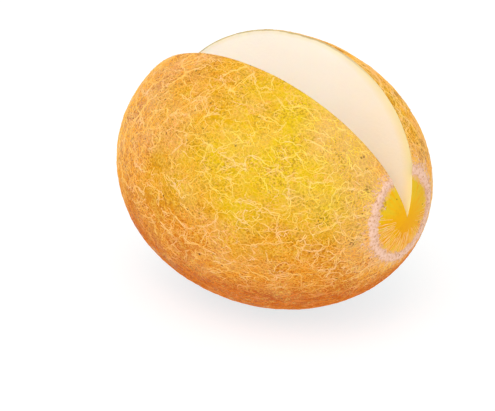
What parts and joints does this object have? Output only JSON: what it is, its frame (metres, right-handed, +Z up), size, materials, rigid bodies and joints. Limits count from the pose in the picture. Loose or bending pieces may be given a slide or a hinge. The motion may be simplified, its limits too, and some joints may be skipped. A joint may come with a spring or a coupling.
{
  "type": "cut netted canary melon",
  "caption": "Golden netted melon lying on its side on a small flat spot, with a wedge cut out of its top from end to end, open to the scraped seed cavity.",
  "frame": {"origin": "middle of the flat spot that the fruit rests on, below the middle of its length", "axes": "+X along the fruit towards its blossom end, +Z up out of the notch"},
  "size_m": [0.1976, 0.1623, 0.1554],
  "materials": {
    "rind": "satin"
  },
  "bodies": {
    "root": {"melon": "rind"}
  },
  "joints": []
}
